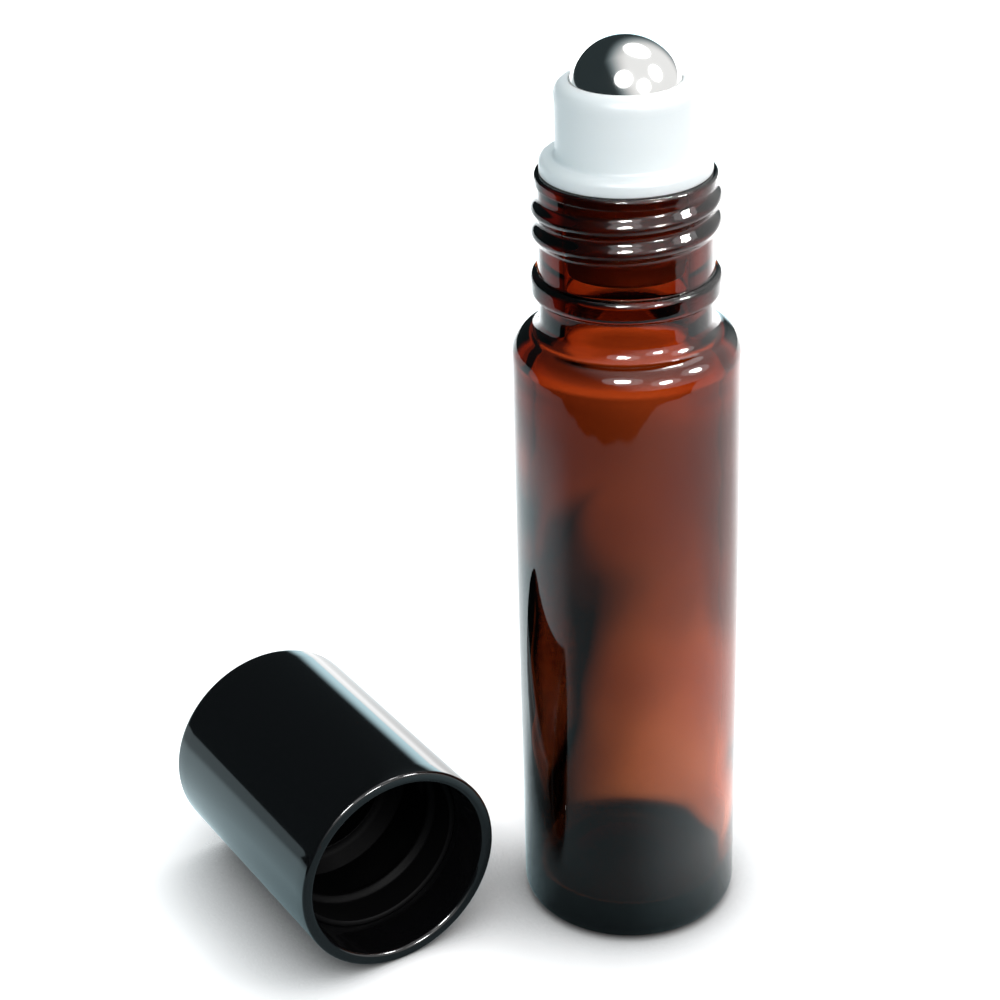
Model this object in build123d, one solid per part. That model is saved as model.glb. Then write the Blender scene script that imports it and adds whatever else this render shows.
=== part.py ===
from build123d import *
import os
from math import radians, sqrt, tan

# A roll-on bottle for about ten millilitres: a moulded glass bottle that stands at the origin, a plastic
# housing pressed into its neck, a steel ball in the housing, and the screw cap, which lies on its side
# beside the bottle with its mouth towards -Y. All sizes are in millimetres, and +Z is up.

# ---- glass bottle
body_radius = 10.0          # outside of the straight body
body_height = 56.5          # from the table to where the shoulder starts to curve
body_wall = 1.6
heel_radius = 1.6           # rounding between the body and the base
foot_width = 1.4            # of the flat ring that the bottle stands on, inside the heel
push_up_depth = 1.1         # the base is hollowed inside that ring
floor_height = 3.0          # inside floor, at the foot of the wall
floor_rounding = 2.4
floor_rise = 0.6            # the inside floor is domed over the push-up
shoulder_height = 2.2       # from there up to the foot of the neck
shoulder_fall = 0.77        # the shoulder slopes down by this much from the neck to the body
shoulder_rounding = 1.95
shoulder_inside_drop = 0.8  # from the top of the shoulder down to the foot of the bore
shoulder_inside_fall = 1.27
shoulder_inside_rounding = 2.0
bore_foot_rounding = 1.9
neck_radius = 7.55          # outside of the plain neck, below the thread
neck_length = 14.0          # from the top of the shoulder to the rim
neck_foot_rounding = 1.45
neck_bore_radius = 5.3
bore_lead_in = 0.3          # chamfer at the top of the bore
rim_projection = 0.2        # the rim stands a little prouder than the neck
rim_height = 0.9
rim_rounding = 0.3
rim_foot_rounding = 0.09
bead_height = 4.2           # middle of the transfer bead above the top of the shoulder
bead_width = 2.1
bead_projection = 0.65
bead_rounding = 0.6
ring_sink = 0.3             # how deep a ring's root is sunk into its wall
rounded_share = 0.98        # the most of an edge that the rounded corners at its ends may take

# ---- screw thread, twelve turns to the inch
thread_pitch = 2.117
thread_projection = 0.55
thread_width = 1.45         # of the glass ridge, where it leaves the wall
thread_turns = 1.85
thread_top_gap = 1.75       # from the rim down to the middle of the thread's upper end
thread_end_angle = 11.0     # where that end lies, seen from above
thread_root_sink = 0.15     # how deep a ridge is rooted in its wall

# ---- roller housing
plug_gap = 0.3              # radial, between the plug and the neck's bore, which its ribs bridge
plug_length = 8.5
plug_wall = 1.0
plug_lead_in = 0.5
rib_count = 3
rib_pitch = 2.2
rib_first = 2.2             # the first sealing rib, below the flange
rib_width = 0.9
rib_rounding = 0.3
bore_clearance = 0.03       # radial, between the ribs and the neck's bore
flange_inset = 0.45         # from the edge of the glass rim in to the flange's
flange_thickness = 1.4
flange_rounding = 0.6
flange_edge_rounding = 0.15
collar_wall = 1.03          # round the cup, at the height of the ball's centre
band_projection = 0.06      # the collar's upper band is slightly thicker
band_height = 1.6
lip_rounding = 1.15
lip_rise = 1.2              # the lip stands this far above the ball's centre, which holds the ball in
seat_width = 1.35           # how far the cup's seat reaches in under the ball
seat_foot_rise = 0.9        # from the flange's top up to the foot of the seat

# ---- ball
ball_radius = 4.8
ball_clearance = 0.08       # radial, between the ball and its cup
ball_floor_gap = 0.45       # from the flange's top up to the lowest point of the ball

# ---- cap
cap_top_gap = 0.15          # between the closed liner and the top of the ball
cap_wall = 1.15
cap_top_wall = 1.0
cap_top_rounding = 0.7
cap_mouth_rounding = 0.3
cap_shoulder_gap = 0.7      # between the closed cap's mouth and the top of the shoulder
liner_wall = 0.53           # behind the thread, which makes the cap flush with the body
liner_fit = 0.02            # radial, where the liner is pressed into the shell
liner_bead_gap = 0.5        # the closed liner ends this far above the bead
liner_top_thickness = 0.6
liner_chimney_wall = 1.1
liner_step_gap = 0.4        # between the liner's inner steps and the rim and flange below them
thread_clearance = 0.2      # radial, between the cap's thread and the neck's
liner_ridge_width = 1.0
liner_thread_turns = 1.5
flange_clearance = 0.3      # radial, between the liner and the housing's flange
collar_clearance = 0.4      # radial, between the liner and the housing's collar
seal_ring_radius = 3.0      # middle of the ring that bears on the ball
seal_ring_width = 0.8
seal_gap = 0.1              # between that ring and the ball, before the cap is drawn tight
cap_gap = 4.2               # between the lying cap and the bottle
cap_mouth_y = 1.7           # how far behind the bottle's axis the lying cap's mouth is

# ---- radii that follow from these
rim_radius = neck_radius + rim_projection
plug_radius = neck_bore_radius - plug_gap
flange_radius = rim_radius - flange_inset
cup_radius = ball_radius + ball_clearance
collar_radius = cup_radius + collar_wall
liner_bore_radius = neck_radius + thread_projection + thread_clearance
liner_radius = liner_bore_radius + liner_wall
cap_inner_radius = liner_radius + liner_fit
cap_radius = cap_inner_radius + cap_wall

# ---- heights that follow from these
shoulder_top = body_height + shoulder_height
rim_top = shoulder_top + neck_length
bead_middle = shoulder_top + bead_height
flange_top = rim_top + flange_thickness
ball_centre = flange_top + ball_floor_gap + ball_radius
ball_top = ball_centre + ball_radius
lip_top = ball_centre + lip_rise
cap_mouth_closed = shoulder_top + cap_shoulder_gap
liner_inside_top = ball_top + cap_top_gap - cap_mouth_closed     # above the cap's mouth
cap_length = liner_inside_top + liner_top_thickness + cap_top_wall


def turned(*corners):
    """A solid of revolution about Z. Each corner is (radius, height) or (radius, height, rounding).

    A rounding is reduced where an edge beside its corner is too short for it.
    """
    points = [Vector(corner[0], 0, corner[1]) for corner in corners]
    edges = [points[end] - points[end - 1] for end in range(len(points))]
    bends = [edges[end - 1].get_angle(edges[end]) for end in range(len(points))]
    bends = bends[1:] + bends[:1]
    wanted = [corner[2] if len(corner) > 2 else 0 for corner in corners]
    roundings = list(wanted)
    reaches = [rounding * tan(radians(bend) / 2) for rounding, bend in zip(wanted, bends)]
    for end in range(len(points)):
        room = rounded_share * edges[end].length
        taken = reaches[end] + reaches[end - 1]
        if taken > room:
            roundings[end] = min(roundings[end], wanted[end] * room / taken)
            roundings[end - 1] = min(roundings[end - 1], wanted[end - 1] * room / taken)
    outline = FilletPolyline(*points, radius=roundings, close=True)
    return revolve(make_face(outline), Axis.Z)


def ring_on(wall_radius, outer_radius, middle, width, rounding):
    """A rounded ring that stands proud of a round wall, a little sunk into it."""
    low, high = middle - width / 2, middle + width / 2
    sunk = wall_radius - ring_sink
    return turned((sunk, low), (outer_radius, low, rounding), (outer_radius, high, rounding), (sunk, high))


def dome(foot_radius, rise, foot_height):
    """The ball whose top stands rise above a circle of foot_radius at foot_height."""
    radius = (foot_radius**2 + rise**2) / (2 * rise)
    return Location((0, 0, foot_height + rise - radius)) * Sphere(radius)


def thread_ridge(wall_radius, projection, width, turns, end_height, end_angle):
    """A helical ridge with rounded ends, whose upper end lies at end_height and end_angle.

    A positive projection points outwards, as on a neck, and a negative one inwards, as in a cap.
    """
    height = abs(projection)
    outwards = projection / height
    flank_radius = ((width / 2) ** 2 + height**2) / (2 * height)
    root_depth = height + thread_root_sink - flank_radius
    root_width = 2 * sqrt(flank_radius**2 - root_depth**2)
    root = wall_radius - outwards * thread_root_sink
    root_low, root_high = (root, 0, -root_width / 2), (root, 0, root_width / 2)
    flanks = ThreePointArc(root_low, (wall_radius + projection, 0, 0), root_high)
    section = make_face([flanks, Line(root_high, root_low)])
    rise = thread_pitch * turns
    path = Helix(pitch=thread_pitch, height=rise, radius=wall_radius)
    lower_end = revolve(split(section, Plane.XY), Axis.X)
    upper_end = Location((0, 0, rise), (0, 0, 360 * turns)) * lower_end
    ridge = sweep(section, path=path, is_frenet=True) + lower_end + upper_end
    return Location((0, 0, end_height - rise), (0, 0, end_angle - 360 * turns)) * ridge


def make_glass_bottle():
    """Body, base with its push-up, shoulder, neck, transfer bead, rim and screw thread."""
    rim_foot = rim_top - rim_height
    outside = turned(
        (0, 0),
        (body_radius, 0, heel_radius),
        (body_radius, shoulder_top - shoulder_fall, shoulder_rounding),
        (neck_radius, shoulder_top, neck_foot_rounding),
        (neck_radius, rim_foot, rim_foot_rounding),
        (rim_radius, rim_foot, rim_foot_rounding),
        (rim_radius, rim_top, rim_rounding),
        (0, rim_top),
    )
    bead = ring_on(neck_radius, neck_radius + bead_projection, bead_middle, bead_width, bead_rounding)
    thread = thread_ridge(
        neck_radius,
        thread_projection,
        thread_width,
        thread_turns,
        rim_top - thread_top_gap,
        thread_end_angle,
    )
    cavity_radius = body_radius - body_wall
    cavity_top = shoulder_top - shoulder_inside_drop
    cavity = turned(
        (0, floor_height),
        (cavity_radius, floor_height, floor_rounding),
        (cavity_radius, cavity_top - shoulder_inside_fall, shoulder_inside_rounding),
        (neck_bore_radius, cavity_top, bore_foot_rounding),
        (neck_bore_radius, rim_top - bore_lead_in),
        (neck_bore_radius + bore_lead_in, rim_top),
        (0, rim_top),
    )
    cavity -= dome(cavity_radius - floor_rounding, floor_rise, floor_height)
    push_up = dome(body_radius - heel_radius - foot_width, push_up_depth, 0)
    return outside + bead + thread - cavity - push_up


def make_roller_housing():
    """The plug with its sealing ribs, the flange on the rim, and the collar with the ball's cup."""
    throat_radius = plug_radius - plug_wall
    seat_radius = ball_radius - seat_width
    seat_foot = flange_top + seat_foot_rise
    plug_foot = rim_top - plug_length
    band_foot = lip_top - band_height
    band_radius = collar_radius + band_projection
    housing = turned(
        (throat_radius, plug_foot),
        (plug_radius, plug_foot, plug_lead_in),
        (plug_radius, rim_top),
        (flange_radius, rim_top, flange_edge_rounding),
        (flange_radius, flange_top, flange_rounding),
        (collar_radius, flange_top, flange_rounding),
        (collar_radius, band_foot),
        (band_radius, band_foot, band_projection / 2),
        (band_radius, lip_top, lip_rounding),
        (seat_radius, lip_top),
        (seat_radius, seat_foot),
        (throat_radius, seat_foot),
    )
    for number in range(rib_count):
        middle = rim_top - rib_first - number * rib_pitch
        housing += ring_on(plug_radius, neck_bore_radius - bore_clearance, middle, rib_width, rib_rounding)
    cup = Location((0, 0, ball_centre)) * Sphere(cup_radius)
    return housing - cup


def make_roller_ball():
    """The steel ball, held in the cup below the lip."""
    return Location((0, 0, ball_centre)) * Sphere(ball_radius)


def make_cap_shell():
    """The plain outer shell, standing on its mouth."""
    outside = turned(
        (0, 0),
        (cap_radius, 0, cap_mouth_rounding),
        (cap_radius, cap_length, cap_top_rounding),
        (0, cap_length),
    )
    inner_top = cap_length - cap_top_wall
    inside = turned((0, 0), (cap_inner_radius, 0), (cap_inner_radius, inner_top), (0, inner_top))
    return outside - inside


def make_cap_liner():
    """The threaded liner, standing as it does in the shell, with the ring that bears on the ball."""
    foot = bead_middle + bead_width / 2 + liner_bead_gap - cap_mouth_closed
    top = liner_inside_top + liner_top_thickness
    rim_step = rim_top + liner_step_gap - cap_mouth_closed
    flange_step = flange_top + liner_step_gap - cap_mouth_closed
    flange_bore = flange_radius + flange_clearance
    collar_bore = collar_radius + band_projection + collar_clearance
    chimney_radius = collar_bore + liner_chimney_wall
    liner = turned(
        (liner_bore_radius, foot),
        (liner_radius, foot),
        (liner_radius, flange_step + liner_chimney_wall),
        (chimney_radius, flange_step + liner_chimney_wall),
        (chimney_radius, top),
        (0, top),
        (0, liner_inside_top),
        (collar_bore, liner_inside_top),
        (collar_bore, flange_step),
        (flange_bore, flange_step),
        (flange_bore, rim_step),
        (liner_bore_radius, rim_step),
    )
    ring_inner = seal_ring_radius - seal_ring_width / 2
    ring_outer = seal_ring_radius + seal_ring_width / 2
    ring_tip = ball_centre + sqrt((ball_radius + seal_gap) ** 2 - ring_inner**2) - cap_mouth_closed
    ring_root = liner_inside_top + liner_top_thickness / 2
    seal_ring = turned(
        (ring_inner, ring_tip), (ring_outer, ring_tip), (ring_outer, ring_root), (ring_inner, ring_root)
    )
    thread = thread_ridge(
        liner_bore_radius,
        -thread_projection,
        liner_ridge_width,
        liner_thread_turns,
        rim_top - thread_top_gap - thread_pitch / 2 - cap_mouth_closed,
        thread_end_angle,
    )
    return liner + seal_ring + thread


def laid_down(piece):
    """A piece of the cap, turned from standing on its mouth to lying beside the bottle."""
    cap_axis_x = -(body_radius + cap_gap + cap_radius)
    return Location((cap_axis_x, cap_mouth_y, cap_radius)) * Rotation(-90, 0, 0) * piece


pieces = {
    "glass_bottle": make_glass_bottle(),
    "roller_housing": make_roller_housing(),
    "roller_ball": make_roller_ball(),
    "cap_shell": laid_down(make_cap_shell()),
    "cap_liner": laid_down(make_cap_liner()),
}

os.makedirs("parts", exist_ok=True)
for name, piece in pieces.items():
    export_step(piece, f"parts/{name}.step")
    print(f"{name}: {piece.volume:.1f} mm3, {len(piece.solids())} solid")
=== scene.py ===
from functools import reduce
from math import atan2, cos, degrees, pi, radians, sin, sqrt, tan

import bmesh
import bpy
from mathutils import Matrix, Vector, noise


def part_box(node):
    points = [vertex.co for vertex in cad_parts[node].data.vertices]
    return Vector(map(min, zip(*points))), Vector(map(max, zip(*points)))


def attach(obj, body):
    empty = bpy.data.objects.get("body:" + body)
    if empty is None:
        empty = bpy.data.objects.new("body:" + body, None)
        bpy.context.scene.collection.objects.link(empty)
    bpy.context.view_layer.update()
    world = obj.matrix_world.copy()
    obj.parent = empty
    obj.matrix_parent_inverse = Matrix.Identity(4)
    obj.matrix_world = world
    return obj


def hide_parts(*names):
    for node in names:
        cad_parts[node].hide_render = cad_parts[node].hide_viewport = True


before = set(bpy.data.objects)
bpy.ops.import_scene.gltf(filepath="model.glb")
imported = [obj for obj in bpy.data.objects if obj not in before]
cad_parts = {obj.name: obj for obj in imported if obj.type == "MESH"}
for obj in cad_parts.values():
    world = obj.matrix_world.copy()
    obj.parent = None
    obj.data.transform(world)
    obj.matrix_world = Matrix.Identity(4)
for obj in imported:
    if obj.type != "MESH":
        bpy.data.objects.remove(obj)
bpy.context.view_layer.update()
scene = bpy.context.scene
scene.view_settings.view_transform = "Standard"

# ---- camera
# The photograph looks down at the bottle from its front left, from close by, with the bottle standing and
# the cap lying at its foot. The camera is turned a little about its own line of sight.
camera_place = Vector((-0.10735, -0.15495, 0.13985))
camera_heading = radians(58.745)        # from +X, seen from above
camera_dip = radians(27.48)
camera_roll = radians(-1.845)
camera_lens = 85.48                     # for a frame 36 mm wide

level = cos(camera_dip)
ahead = Vector((cos(camera_heading) * level, sin(camera_heading) * level, -sin(camera_dip)))
level_right = Vector((sin(camera_heading), -cos(camera_heading), 0))
level_up = level_right.cross(ahead)
right = cos(camera_roll) * level_right + sin(camera_roll) * level_up
up = cos(camera_roll) * level_up - sin(camera_roll) * level_right
camera_turn = Matrix((right, up, -ahead)).transposed().to_4x4()

camera_data = bpy.data.cameras.new("camera")
camera_data.lens = camera_lens
camera_data.sensor_width = 36
camera_data.clip_start = 0.01
camera = bpy.data.objects.new("camera", camera_data)
camera.matrix_world = Matrix.Translation(camera_place) @ camera_turn
scene.collection.objects.link(camera)
scene.camera = camera

# ---- table and room
# The bottle stands on a white table in a room that is dark to its left and bright to its right, with a
# backlight low down behind it. As glossy things mirror it and as it is seen through the glass, the table's
# brightness is painted light: it is brightest to the right and behind, ends not far in front, and is darkened
# by painted contact shade round the objects.
# Headings are in degrees round to the right from the side that the photograph is taken from.
camera_azimuth = degrees(atan2(camera_place.y, camera_place.x))
table_size = 6.0
table_gap = 0.00002                     # under the foot, so that no two faces share a plane
table_colour = (0.80, 0.81, 0.82, 1)
table_glow = 0.82                       # what lifts the lit table to white
shade_reach = 0.012                     # how far the objects' painted contact shade spreads over the table
shade_depth = 2.0
dim_colour = (0.66, 0.92, 1.0, 1)       # of the light from the dark side
white = (1, 1, 1, 1)
backlight_heading = 175.0
backlight_height = -5.0
plug_light = 0.3                        # how much of the light through the glass reaches the white plug

# The table as glossy things mirror it, which is a painted reflection. Each patch of it has a heading, the
# cosines of the angles from there at which it starts and is full, its brightness, and two distances from the
# axis with its share at each of them.
table_mirrored = (0.32, 1.5)            # brightness of its dim side and of its bright side
table_bright_heading = 150.0
table_tint_turn = (0.5, 1.4)            # the brightnesses between which its tint turns from dim to white
patch_behind = (backlight_heading, (0.6, 0.95), 2.2, (0.025, 0.2), (0.0, 1.0))
patch_beside = (80.0, (0.1, 1.0), 0.5, (0.02, 0.08), (1.0, 0.0))
patch_left = (-105.0, (0.6, 0.98), 0.7, (0.09, 0.13), (1.0, 0.0))
table_front_heading = -15.0
table_front_edge = 0.1155               # from the bottle's axis, straight in front
table_edge_curve = 0.035                # how much further it is to the sides
table_edge_wander = 0.016
table_edge_blur = 0.001
table_side_turn = (-0.2, 0.2)           # the cosines between which the edge goes out of reach behind
table_out_of_reach = 3.0
beyond_table = 0.03

# The table as it is seen through the glass, which is painted light: a strip close behind that fades to the
# left, and two parts further off.
strip_brightness = 3.9
strip_span = (-0.0085, 0.022)           # how far to the right it starts and is full
strip_foot = (0.010, 0.018)             # it starts and is full at these distances from the axis
strip_fade = (0.022, 0.09)              # and fades between these
strip_left_over = 0.1
strip_turn = (-0.1, 0.4)                # it dims in front of these cosines from straight behind
strip_in_front = 0.1
middle_brightness = 0.8
middle_start = (0.055, 0.085)
middle_span = (-0.019, -0.007)          # how far to the right it starts and is full, close by
middle_widens = (0.075, 0.095)          # the distances between which it opens out to the left
far_brightness = 2.3
far_start = (0.1, 0.17)
far_fade = (0.22, 0.45)
far_left_over = 0.3
distant_turn = (0.3, 0.8)               # as for the strip
distant_in_front = 0.12

# The room: brightness at its dim side and at its bright side, as it is mirrored, lights what is matt, and
# is seen through the glass.
room_mirrored = (0.05, 1.3)
room_gathered = (0.42, 0.78)
room_through_glass = (0.05, 1.1)
room_turn = (-0.22, 0.6)                # where it turns from dim to bright
room_tint_turn = (-0.3, 0.4)
room_lean = 0.5                         # how much brighter it gets upwards
room_dim_behind = 0.45
backlight_spread = (19.0, 9.0)          # it starts outside the first angle and is full inside the second
backlight_brightness = 3.4
glow_behind = (0.8, 0.97)               # the cosines at which the light through the glass starts and is full
glow_brightness = 0.8


class Nodes:
    """Makes the nodes of a tree. An input is given as a value or as the socket that feeds it."""

    def __init__(self, tree):
        tree.nodes.clear()
        self.tree = tree

    def __call__(self, kind, inputs=(), output=0, **settings):
        node = self.tree.nodes.new(kind)
        for name, value in settings.items():
            setattr(node, name, value)
        for key, value in dict(inputs).items():
            if isinstance(value, bpy.types.NodeSocket):
                self.tree.links.new(value, node.inputs[key])
            else:
                node.inputs[key].default_value = value
        return node.outputs[output] if node.outputs else node

    def math(self, operation, *values):
        return self("ShaderNodeMath", enumerate(values), operation=operation)

    def total(self, *values):
        return reduce(lambda first, second: self.math("ADD", first, second), values)

    def product(self, *values):
        return reduce(lambda first, second: self.math("MULTIPLY", first, second), values)

    def dot(self, vector, constant):
        return self("ShaderNodeVectorMath", {0: vector, 1: constant}, output="Value", operation="DOT_PRODUCT")

    def ramp(self, value, start, end, first, last, kind="LINEAR"):
        inputs = {"Value": value, "From Min": start, "From Max": end, "To Min": first, "To Max": last}
        return self("ShaderNodeMapRange", inputs, interpolation_type=kind)

    def ease(self, *values):
        return self.ramp(*values, kind="SMOOTHSTEP")

    def mix(self, share, first, second):
        return self("ShaderNodeMix", {0: share, 6: first, 7: second}, output=2, data_type="RGBA")

    def ray(self, kind):
        return self("ShaderNodeLightPath", output=kind)

    def pick(self, share, first, second):
        return self("ShaderNodeMixShader", {0: share, 1: first, 2: second})


def towards(from_camera, height=0.0):
    """The direction at a heading and a height above the horizon, in degrees."""
    turn, rise = radians(camera_azimuth + from_camera), radians(height)
    return Vector((cos(turn) * cos(rise), sin(turn) * cos(rise), sin(rise)))


bm = bmesh.new()
bmesh.ops.create_grid(bm, x_segments=1, y_segments=1, size=table_size / 2)
bmesh.ops.translate(bm, verts=bm.verts, vec=(0, 0, -table_gap))
table_mesh = bpy.data.meshes.new("table")
bm.to_mesh(table_mesh)
bm.free()
table = bpy.data.objects.new("table", table_mesh)
scene.collection.objects.link(table)

table_material = bpy.data.materials.new("table_white")
table_material.use_nodes = True
node = Nodes(table_material.node_tree)
place = node("ShaderNodeTexCoord", output="Object")
distance = node("ShaderNodeVectorMath", {0: place}, output="Value", operation="LENGTH")
heading = node("ShaderNodeVectorMath", {0: place}, operation="NORMALIZE")
# Painted contact shade: ambient occlusion darkens the table round the objects, where shade would fall.
open_sky = node("ShaderNodeAmbientOcclusion", {"Distance": shade_reach}, output="AO", samples=6)
painted_contact_shade = node.math("POWER", open_sky, shade_depth)


def patch(from_camera, cosines, brightness, distances, shares):
    """A painted reflection: a part of the table that is brighter than the rest when it is mirrored."""
    inside = node.ease(node.dot(heading, towards(from_camera)), *cosines, 0.0, brightness)
    return node.product(inside, node.ease(distance, *distances, *shares))


side = node.ramp(node.dot(heading, towards(table_bright_heading)), -1.0, 1.0, *table_mirrored)
frontal = node.dot(heading, towards(table_front_heading))
ragged = node("ShaderNodeTexNoise", {"Vector": heading, "Scale": 2.5, "Detail": 4.0})
outwards = node.total(
    node.math("MULTIPLY_ADD", frontal, table_edge_curve, distance),
    node.product(ragged, table_edge_wander),
    node.ease(frontal, *table_side_turn, -table_out_of_reach, 0.0),
)
edge = table_front_edge + table_edge_curve + table_edge_wander / 2
in_front = node.ease(outwards, edge - table_edge_blur, edge + table_edge_blur, 1.0, beyond_table)
# The table's brightness in reflections is painted, and cut by the painted contact shade.
mirrored = node.total(side, patch(*patch_behind), patch(*patch_beside))
mirrored = node.total(node.product(mirrored, in_front, painted_contact_shade), node.product(patch(*patch_left), open_sky))

rightness = node.dot(place, towards(90))
behind = node.dot(heading, towards(180))
# Painted light that only rays through the glass see, cut by the painted contact shade.
strip = node.product(
    node.ramp(rightness, *strip_span, 0.0, strip_brightness),
    node.ease(distance, *strip_foot, 0.0, 1.0),
    node.ease(distance, *strip_fade, 1.0, strip_left_over),
    node.ease(behind, *strip_turn, strip_in_front, 1.0),
)
far = node.product(
    node.ease(distance, *far_start, 0.0, far_brightness),
    node.ease(distance, *far_fade, 1.0, far_left_over),
)
opened = node.math(
    "MAXIMUM",
    node.ease(rightness, *middle_span, 0.0, 1.0),
    node.ease(distance, *middle_widens, 0.0, 1.0),
)
middle = node.product(opened, node.ease(distance, *middle_start, 0.0, middle_brightness))
distant = node.product(node.total(far, middle), node.ease(behind, *distant_turn, distant_in_front, 1.0))
on_matt = node.ramp(node.ray("Diffuse Depth"), 0.0, 1.0, 1.0, plug_light)
through = node.product(node.total(strip, distant), painted_contact_shade, on_matt)

# The camera sees the table's colour darkened and its glow dimmed by the painted contact shade.
lit = node("ShaderNodeBsdfDiffuse", {"Color": table_colour})
painted_shade_diffuse = node("ShaderNodeBsdfDiffuse", {"Color": node.mix(open_sky, (0, 0, 0, 1), table_colour)})
glow = node("ShaderNodeEmission", {"Color": white, "Strength": node.product(painted_contact_shade, table_glow)})
seen = node("ShaderNodeAddShader", {0: painted_shade_diffuse, 1: glow})
tint = node.mix(node.ramp(side, *table_tint_turn, 0.0, 1.0), dim_colour, white)
in_mirror = node("ShaderNodeEmission", {"Color": tint, "Strength": mirrored})
in_glass = node("ShaderNodeEmission", {"Color": (1.0, 0.99, 0.97, 1), "Strength": through})
surface = node.pick(node.ray("Is Camera Ray"), lit, seen)
surface = node.pick(node.ray("Is Glossy Ray"), surface, in_mirror)
surface = node.pick(node.ray("Is Transmission Ray"), surface, in_glass)
node("ShaderNodeOutputMaterial", {"Surface": surface})
table_mesh.materials.append(table_material)

room = bpy.data.worlds.new("room")
room.use_nodes = True
scene.world = room
node = Nodes(room.node_tree)
direction = node("ShaderNodeTexCoord", output="Generated")
rightness = node.dot(direction, towards(90) + Vector((0, 0, room_lean)))
behind = node.math("MAXIMUM", node.dot(direction, towards(180)), 0.0)
share = node.math("MULTIPLY_ADD", behind, -room_dim_behind, rightness)
facing = node.dot(direction, towards(backlight_heading, backlight_height))
starts, full = (cos(radians(angle)) for angle in backlight_spread)
backlight = node.ease(facing, starts, full, 0.0, backlight_brightness)
mirrored = node.total(node.ease(share, *room_turn, *room_mirrored), backlight)
gathered = node.ease(share, *room_turn, *room_gathered)
through = node.total(
    node.ease(share, *room_turn, *room_through_glass),
    node.ease(facing, *glow_behind, 0.0, glow_brightness),
)
on_matt = node.ramp(node.ray("Diffuse Depth"), 0.0, 1.0, 1.0, plug_light)
tint = node.mix(node.ease(share, *room_tint_turn, 0.0, 1.0), dim_colour, white)
surface = node("ShaderNodeBackground", {"Color": tint, "Strength": gathered})
in_mirror = node("ShaderNodeBackground", {"Color": tint, "Strength": mirrored})
in_glass = node("ShaderNodeBackground", {"Color": white, "Strength": node.product(through, on_matt)})
seen = node("ShaderNodeBackground", {"Color": white, "Strength": 1.0})
surface = node.pick(node.ray("Is Glossy Ray"), surface, in_mirror)
surface = node.pick(node.ray("Is Transmission Ray"), surface, in_glass)
surface = node.pick(node.ray("Is Camera Ray"), surface, seen)
node("ShaderNodeOutputWorld", {"Surface": surface})

# Each lamp is a wide soft shade with a small bright bulb in front of it: its heading and height, and the spread
# in degrees and the brightness of both. Brightness 1 is white.
lamps = {
    "over_camera": (-5, 45, (17, 2.0), (7, 70)),
    "right_low": (40, 27, (14, 2.0), (6, 70)),
    "right_high": (81, 37, (14, 2.0), (6, 70)),
    "behind": (140, 66, (18, 2.2), (7, 40)),
}
lamp_aim = Vector((0, 0, 0.045))
shade_distance = 0.5
bulb_distance = 0.48


def lamp(name, outwards, reach, spread, brightness, lights_matt):
    """A round lamp that faces the bottle, spread degrees from its middle to its edge.

    One that doesn't light what is matt is only a highlight in what is glossy.
    """
    radius = reach * tan(radians(spread))
    data = bpy.data.lights.new(name, "AREA")
    data.shape = "DISK"
    data.size = 2 * radius
    data.energy = brightness * (pi * radius) ** 2
    stand = bpy.data.objects.new(name, data)
    turn = outwards.to_track_quat("Z", "Y").to_matrix().to_4x4()
    stand.matrix_world = Matrix.Translation(lamp_aim + reach * outwards) @ turn
    stand.visible_camera = False
    stand.visible_diffuse = lights_matt
    stand.visible_transmission = False
    scene.collection.objects.link(stand)


for name, (from_camera, height, soft, bright) in lamps.items():
    outwards = towards(from_camera, height)
    lamp(f"shade_{name}", outwards, shade_distance, *soft, lights_matt=True)
    lamp(f"bulb_{name}", outwards, bulb_distance, *bright, lights_matt=False)

# ---- glass bottle
# Moulded amber glass, empty, with a hollow under its base, a bead that seals the cap's skirt, and a right-hand
# thread of twelve turns to the inch. The inside of its wall thins downwards and waves a little. All the pieces'
# sizes are in millimetres, and a rounding is what it takes off each side of a corner.
glass_high = 1000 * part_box("glass_bottle")[1]
body_radius = glass_high.x
heel_rounding = 1.6
foot_radius = 7.0                       # inside of the ring that it stands on
foot_rounding = 0.25
push_up_depth = 1.1
push_up_bend = (3.6, 0.81)
rim_top = glass_high.z
shoulder_top = rim_top - 14.0
shoulder_fall = 0.77
shoulder_rounding = 1.43
neck_radius = 7.55
neck_foot_rounding = 1.07
bead_middle = shoulder_top + 4.2
bead_half_width = 1.05
bead_radius = neck_radius + 0.65
bead_rounding = 0.6
bead_foot_rounding = 0.25
rim_radius = neck_radius + 0.2
rim_foot = rim_top - 0.9
rim_foot_rounding = 0.09
rim_rounding = 0.3
rim_gap = 0.01                          # under the flange, so that no two faces share a plane
bore_radius = 5.3
bore_foot_rounding = 1.24
cavity_top = shoulder_top - 0.8
cavity_fall = 1.27
cavity_rounding = 1.28
wall_high = 1.95                        # the body's wall, below the shoulder and above the base
wall_low = 1.2
wall_wave = 0.16
wave_density = 0.16                     # waves in a millimetre
wave_foot = 5.5
wave_top = cavity_top - 3.0
floor_height = 2.8                      # where the wall and the inside floor would meet
floor_rounding = 1.6
floor_bend = (4.0, 3.15, 1.5)
floor_middle = 3.4
thread_pitch = 2.117
thread_top = rim_top - 1.75
thread_end = 11.0                       # where the thread's upper end lies, in degrees from +X
thread_length = 1.85                    # in turns
thread_projection = 0.55
thread_half_foot = 1.05
thread_fade = 14.0                      # degrees over which each end dies away
glass_turns = 256                       # faces round the bottle
longest_edge = 1.0
merged_within = 0.0005                  # points this near each other become one
thread_edge = 0.1                       # the longest edge where the thread rises
amber_depth = 1450.0                    # how strongly the glass absorbs light, per metre
amber_tint = (0.65, 0.30, 0.0, 1)


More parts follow.
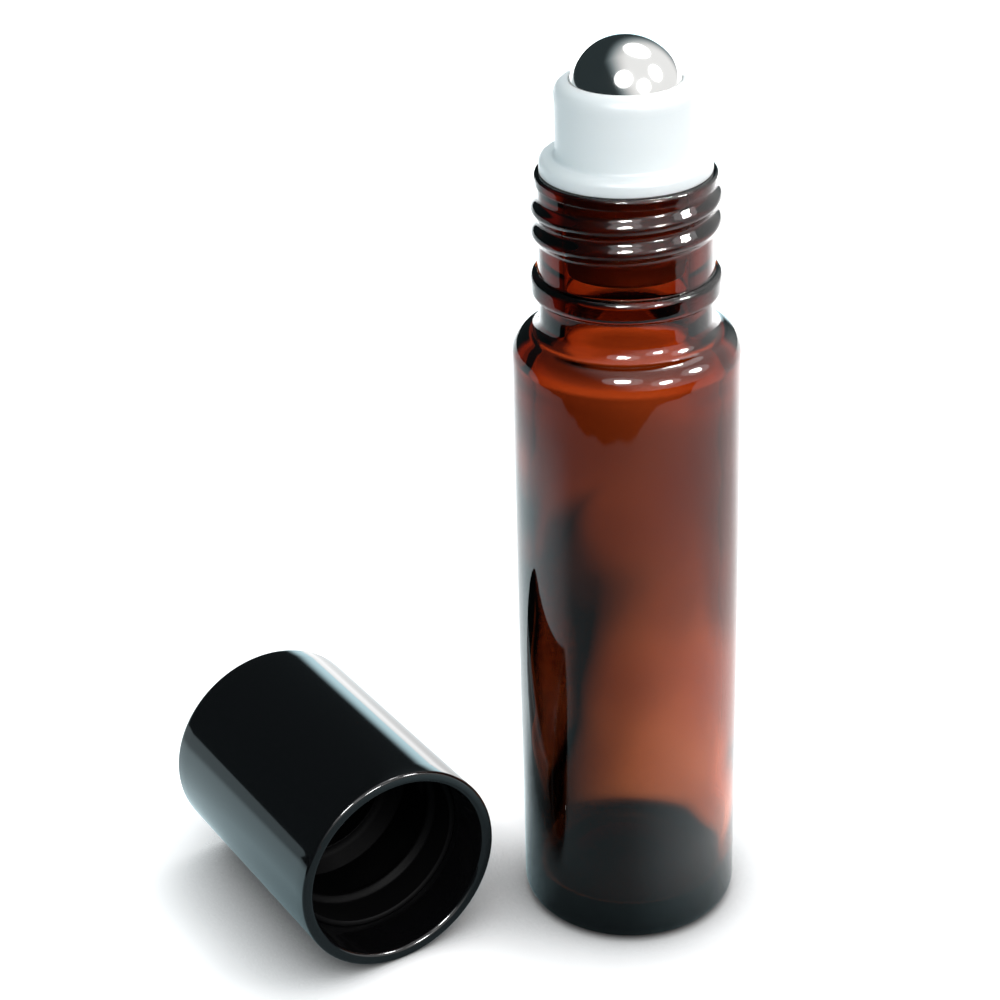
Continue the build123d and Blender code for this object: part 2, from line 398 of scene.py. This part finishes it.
def rounded_outline(corners, segments=8):
    """A bmesh with a wire in the XZ plane. Each corner is (radius, height) or (radius, height, rounding)."""
    bm = bmesh.new()
    verts = [bm.verts.new((corner[0], 0, corner[1])) for corner in corners]
    for first, second in zip(verts, verts[1:]):
        bm.edges.new((first, second))
    for vert, corner in zip(verts, corners):
        if len(corner) > 2:
            bmesh.ops.bevel(
                bm,
                geom=[vert],
                offset=corner[2],
                offset_type="OFFSET",
                segments=segments,
                profile=0.5,
                affect="VERTICES",
                material=-1,
            )
    return bm


def divide_long_edges(bm, longest, wall=None, between=(-1e9, 1e9)):
    """Divides the wire's edges that lie between two heights, and on an upright wall where one is given."""
    low, high = between
    for edge in list(bm.edges):
        middle = (edge.verts[0].co + edge.verts[1].co) / 2
        on_wall = wall is None or abs(middle.x - wall) < 0.01
        if on_wall and low < middle.z < high and edge.calc_length() > longest:
            bmesh.ops.subdivide_edges(bm, edges=[edge], cuts=int(edge.calc_length() / longest))


def spin_about_z(bm, turns):
    """Spins the wire into a closed skin about Z, with its poles joined and its faces outwards."""
    bmesh.ops.spin(
        bm,
        geom=bm.verts[:] + bm.edges[:],
        cent=(0, 0, 0),
        axis=(0, 0, 1),
        angle=2 * pi,
        steps=turns,
        use_merge=True,
    )
    bmesh.ops.remove_doubles(bm, verts=bm.verts, dist=merged_within)
    bmesh.ops.recalc_face_normals(bm, faces=bm.faces)


def raise_thread(bm, wall, projection, top, end, length, half_foot):
    """Raises a right-hand thread from a round wall. Its ends die away, and a negative projection is inwards."""
    for vert in bm.verts:
        radius = vert.co.xy.length
        if abs(radius - wall) > 0.01:
            continue
        back = (end - degrees(atan2(vert.co.y, vert.co.x))) % 360
        share = 0.0
        while back < 360 * length:
            offset = abs(vert.co.z - (top - back / 360 * thread_pitch)) / half_foot
            fade = min(1.0, back / thread_fade, (360 * length - back) / thread_fade)
            if offset < 1:
                share = max(share, fade * (1 - offset**2) ** 2)
            back += 360
        vert.co.xy *= (radius + projection * share) / radius


def new_material(name):
    material = bpy.data.materials.new(name)
    material.use_nodes = True
    return material, Nodes(material.node_tree)


def as_piece(bm, name, body, stands_for, material):
    """The finished mesh, in millimetres, as a smooth piece that rides on a body and stands for a CAD node."""
    bmesh.ops.scale(bm, vec=(0.001, 0.001, 0.001), verts=bm.verts)
    mesh = bpy.data.meshes.new(name)
    for face in bm.faces:
        face.smooth = True
    bm.to_mesh(mesh)
    bm.free()
    mesh.materials.append(material)
    piece = bpy.data.objects.new(name, mesh)
    scene.collection.objects.link(piece)
    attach(piece, body)
    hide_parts(stands_for)
    return piece


amber, node = new_material("amber_glass")
place = node("ShaderNodeTexCoord", output="Object")
waves = node("ShaderNodeTexNoise", {"Vector": place, "Scale": 160.0, "Detail": 1.0})
bump = node("ShaderNodeBump", {"Strength": 0.5, "Distance": 0.00004, "Height": waves})
clear = {"Base Color": white, "Roughness": 0.0, "IOR": 1.51, "Transmission Weight": 1.0, "Normal": bump}
shader = node("ShaderNodeBsdfPrincipled", clear)
absorption = node("ShaderNodeVolumeAbsorption", {"Color": amber_tint, "Density": amber_depth})
node("ShaderNodeOutputMaterial", {"Surface": shader, "Volume": absorption})

glass = rounded_outline(
    [
        (0, push_up_depth),
        push_up_bend,
        (foot_radius, 0, foot_rounding),
        (body_radius, 0, heel_rounding),
        (body_radius, shoulder_top - shoulder_fall, shoulder_rounding),
        (neck_radius, shoulder_top, neck_foot_rounding),
        (neck_radius, bead_middle - bead_half_width, bead_foot_rounding),
        (bead_radius, bead_middle - bead_half_width, bead_rounding),
        (bead_radius, bead_middle + bead_half_width, bead_rounding),
        (neck_radius, bead_middle + bead_half_width, bead_foot_rounding),
        (neck_radius, rim_foot, rim_foot_rounding),
        (rim_radius, rim_foot, rim_foot_rounding),
        (rim_radius, rim_top - rim_gap, rim_rounding),
        (bore_radius, rim_top - rim_gap, rim_rounding),
        (bore_radius, cavity_top, bore_foot_rounding),
        (body_radius - wall_high, cavity_top - cavity_fall, cavity_rounding),
        (body_radius - wall_low, floor_height, floor_rounding),
        floor_bend,
        (0, floor_middle),
    ]
)
thread_foot = thread_top - thread_length * thread_pitch - thread_half_foot
divide_long_edges(glass, thread_edge, wall=neck_radius, between=(thread_foot - 0.5, rim_foot))
divide_long_edges(glass, longest_edge)
spin_about_z(glass, glass_turns)
raise_thread(
    glass,
    wall=neck_radius,
    projection=thread_projection,
    top=thread_top,
    end=thread_end,
    length=thread_length,
    half_foot=thread_half_foot,
)
for vert in glass.verts:
    radius = vert.co.xy.length
    inside = body_radius - wall_high - 0.05 < radius < body_radius - wall_low + 0.05
    if inside and wave_foot < vert.co.z < wave_top:
        vert.co.xy *= 1 + wall_wave * noise.noise(vert.co * wave_density) / radius
as_piece(glass, "amber_bottle", "bottle", "glass_bottle", amber)

# ---- roller housing
# Natural white polyethylene, moulded in one piece: a ribbed plug that grips the bore of the neck, a flange
# that rests on the glass rim, and a collar whose rounded lip holds the ball.
ball_low, ball_high = (1000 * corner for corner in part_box("roller_ball"))
ball_radius = (ball_high.z - ball_low.z) / 2
ball_centre = (ball_high.z + ball_low.z) / 2
housing_low, housing_high = (1000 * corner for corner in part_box("roller_housing"))
lip_top = housing_high.z
lip_rounding = 1.15
plug_foot = housing_low.z
plug_radius = 5.0
plug_rounding = 0.5
throat_radius = 4.0
rib_radius = 5.27
rib_count = 3
rib_pitch = 2.2                         # and from the rim to the first of them
rib_half_foot = 0.45
rib_half_crest = 0.2
flange_radius = housing_high.x
flange_top = rim_top + 1.4
flange_rounding = 0.6
flange_foot_rounding = 0.15
cup_radius = ball_radius + 0.08
cup_steps = 18
seat_radius = ball_radius - 1.35
seat_foot = flange_top + 0.9
collar_radius = cup_radius + 1.03
collar_foot_rounding = 0.3
band_radius = collar_radius + 0.06
band_foot = lip_top - 1.6
band_foot_rounding = 0.03
band_step_rounding = 0.02
housing_turns = 192

polyethylene, node = new_material("white_polyethylene")
place = node("ShaderNodeTexCoord", output="Object")
grain = node("ShaderNodeTexNoise", {"Vector": place, "Scale": 2600.0, "Detail": 3.0})
flow = node("ShaderNodeTexNoise", {"Vector": place, "Scale": 170.0, "Detail": 2.0})
relief = node.math("MULTIPLY_ADD", flow, 2.0, grain)
milky = {
    "Base Color": (0.88, 0.92, 0.93, 1),
    "Roughness": node("ShaderNodeMapRange", {"Value": grain, "To Min": 0.34, "To Max": 0.46}),
    "IOR": 1.51,
    "Subsurface Weight": 0.35,
    "Subsurface Radius": (1.0, 0.95, 0.9),
    "Subsurface Scale": 0.0012,
    "Normal": node("ShaderNodeBump", {"Strength": 0.14, "Distance": 0.00004, "Height": relief}),
}
node("ShaderNodeOutputMaterial", {"Surface": node("ShaderNodeBsdfPrincipled", milky)})

lip_opening = sqrt(cup_radius**2 - (lip_top - ball_centre) ** 2)
seat_height = ball_centre - sqrt(cup_radius**2 - seat_radius**2)
low_slope = atan2(seat_height - ball_centre, seat_radius)
high_slope = atan2(lip_top - ball_centre, lip_opening)
cup_wall = []
for step in range(cup_steps + 1):
    slope = high_slope + (low_slope - high_slope) * step / cup_steps
    cup_wall.append((cup_radius * cos(slope), ball_centre + cup_radius * sin(slope)))
ribs = []
for number in range(rib_count, 0, -1):
    rib = rim_top - rib_pitch * number
    ribs += [
        (plug_radius, rib - rib_half_foot),
        (rib_radius, rib - rib_half_crest),
        (rib_radius, rib + rib_half_crest),
        (plug_radius, rib + rib_half_foot),
    ]
housing = rounded_outline(
    [
        (throat_radius, plug_foot),
        (plug_radius, plug_foot, plug_rounding),
        *ribs,
        (plug_radius, rim_top),
        (flange_radius, rim_top, flange_foot_rounding),
        (flange_radius, flange_top, flange_rounding),
        (collar_radius, flange_top, collar_foot_rounding),
        (collar_radius, band_foot, band_step_rounding),
        (band_radius, band_foot, band_foot_rounding),
        (band_radius, lip_top, lip_rounding),
        *cup_wall,
        (seat_radius, seat_foot),
        (throat_radius, seat_foot),
        (throat_radius, plug_foot),
    ]
)
bmesh.ops.remove_doubles(housing, verts=housing.verts, dist=merged_within)
divide_long_edges(housing, longest_edge)
spin_about_z(housing, housing_turns)
as_piece(housing, "white_housing", "roller", "roller_housing", polyethylene)

# ---- ball
# Stainless steel, ground and polished to a mirror, turning freely in its cup. Use has left it with fine
# scratches that only show where they blur a highlight.
ball_steps = 72                         # from pole to pole

steel, node = new_material("polished_steel")
place = node("ShaderNodeTexCoord", output="Object")
haze = node("ShaderNodeTexNoise", {"Vector": place, "Scale": 420.0, "Detail": 4.0})
drawn_out = {"Vector": place, "Rotation": (0.5, 0.3, 0.9), "Scale": (1.0, 14.0, 14.0)}
stretched = node("ShaderNodeMapping", drawn_out)
scratches = node("ShaderNodeTexNoise", {"Vector": stretched, "Scale": 520.0, "Detail": 2.0})
mirror = {
    "Base Color": (0.62, 0.62, 0.61, 1),
    "Metallic": 1.0,
    "Roughness": node("ShaderNodeMapRange", {"Value": haze, "To Min": 0.05, "To Max": 0.13}),
    "Normal": node("ShaderNodeBump", {"Strength": 0.06, "Distance": 0.00001, "Height": scratches}),
}
node("ShaderNodeOutputMaterial", {"Surface": node("ShaderNodeBsdfPrincipled", mirror)})

half_round = []
for step in range(ball_steps + 1):
    slope = radians(-90 + 180 * step / ball_steps)
    half_round.append((ball_radius * cos(slope), ball_centre + ball_radius * sin(slope)))
ball = rounded_outline(half_round)
spin_about_z(ball, 2 * ball_steps)
as_piece(ball, "steel_ball", "ball", "roller_ball", steel)

# ---- cap shell
# A plain gloss black moulding, closed at one end, with a slightly rounded mouth. It is pressed on over the
# liner, and the cap lies on its side with its mouth to the front.
cap_low, cap_high = (1000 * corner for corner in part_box("cap_shell"))
cap_radius = (cap_high.x - cap_low.x) / 2
cap_length = cap_high.y - cap_low.y
cap_axis_x = (cap_high.x + cap_low.x) / 2
cap_inner_radius = cap_radius - 1.15
cap_top_wall = 1.0
cap_top_rounding = 0.7
cap_mouth_rounding = 0.3
cap_mouth_inner_rounding = 0.45
shell_edge = 1.5
cap_turns = 192


def black_plastic(name, colour, shine, roughness, peel):
    material, node = new_material(name)
    place = node("ShaderNodeTexCoord", output="Object")
    handling = node("ShaderNodeTexNoise", {"Vector": place, "Scale": 240.0, "Detail": 5.0})
    ripple = node("ShaderNodeTexNoise", {"Vector": place, "Scale": 900.0, "Detail": 2.0})
    plastic = {
        "Base Color": colour,
        "Roughness": node.ramp(handling, 0.0, 1.0, *roughness),
        "IOR": 1.5,
        "Specular IOR Level": shine,
        "Normal": node("ShaderNodeBump", {"Strength": peel, "Distance": 0.00002, "Height": ripple}),
    }
    node("ShaderNodeOutputMaterial", {"Surface": node("ShaderNodeBsdfPrincipled", plastic)})
    return material


def lay_down(bm):
    """Turns a piece of the cap from standing on its mouth to lying beside the bottle."""
    lying = Matrix.Translation((cap_axis_x, cap_low.y, cap_radius)) @ Matrix.Rotation(radians(-90), 4, "X")
    bmesh.ops.transform(bm, matrix=lying, verts=bm.verts)


gloss = black_plastic(
    "gloss_black", colour=(0.0035, 0.0035, 0.004, 1), shine=0.55, roughness=(0.05, 0.09), peel=0.05
)
shell = rounded_outline(
    [
        (0, cap_length),
        (cap_radius, cap_length, cap_top_rounding),
        (cap_radius, 0, cap_mouth_rounding),
        (cap_inner_radius, 0, cap_mouth_inner_rounding),
        (cap_inner_radius, cap_length - cap_top_wall),
        (0, cap_length - cap_top_wall),
    ]
)
divide_long_edges(shell, shell_edge)
spin_about_z(shell, cap_turns)
lay_down(shell)
as_piece(shell, "black_cap", "cap", "cap_shell", gloss)

# ---- cap liner
# A black moulding with a rough finish, pressed into the shell. Its colour is darker and its shine far lower
# than the shell's: painted shade that keeps the inside of the cap dark. Its skirt carries the thread that mates
# with the neck's, and a ring under its crown bears on the ball.
liner_gap = 0.02                        # inside the shell, so that no two faces share a plane
liner_radius = cap_inner_radius - liner_gap
liner_bore = neck_radius + 0.75
liner_mouth = 5.05                      # these heights are above the cap's mouth
liner_mouth_rounding = 0.15
liner_edge_rounding = 0.1
thread_room_top = 13.7
step_radius = 7.7
step_height = 15.1
skirt_top = 16.2
crown_radius = 7.6
crown_top = 25.48
crown_bore = 6.5
crown_ceiling = 24.9
crown_rounding = 0.3
ring_radii = (2.6, 3.4)
ring_foot = 24.1
closed_mouth = shoulder_top + 0.7       # how high the cap's mouth is when it is closed
liner_thread_length = 1.5
liner_thread_half_foot = 0.7

# Painted shade: darker and far less shiny than the shell, so that the inside of the cap stays dark.
painted_shade_satin = black_plastic(
    "satin_black", colour=(0.0015, 0.0015, 0.0018, 1), shine=0.05, roughness=(0.5, 0.65), peel=0.2
)
liner = rounded_outline(
    [
        (liner_bore, liner_mouth, liner_mouth_rounding),
        (liner_radius, liner_mouth, liner_edge_rounding),
        (liner_radius, skirt_top),
        (crown_radius, skirt_top),
        (crown_radius, crown_top),
        (0, crown_top),
        (0, crown_ceiling),
        (ring_radii[0], crown_ceiling),
        (ring_radii[0], ring_foot, liner_edge_rounding),
        (ring_radii[1], ring_foot, liner_edge_rounding),
        (ring_radii[1], crown_ceiling),
        (crown_bore, crown_ceiling, crown_rounding),
        (crown_bore, step_height, liner_edge_rounding),
        (step_radius, step_height),
        (step_radius, thread_room_top),
        (liner_bore, thread_room_top),
        (liner_bore, liner_mouth, liner_mouth_rounding),
    ]
)
bmesh.ops.remove_doubles(liner, verts=liner.verts, dist=merged_within)
divide_long_edges(liner, thread_edge, wall=liner_bore)
spin_about_z(liner, cap_turns)
liner_thread_top = thread_top - thread_pitch / 2 - closed_mouth
raise_thread(
    liner,
    wall=liner_bore,
    projection=-thread_projection,
    top=liner_thread_top,
    end=thread_end,
    length=liner_thread_length,
    half_foot=liner_thread_half_foot,
)
lay_down(liner)
as_piece(liner, "black_liner", "cap", "cap_liner", painted_shade_satin)
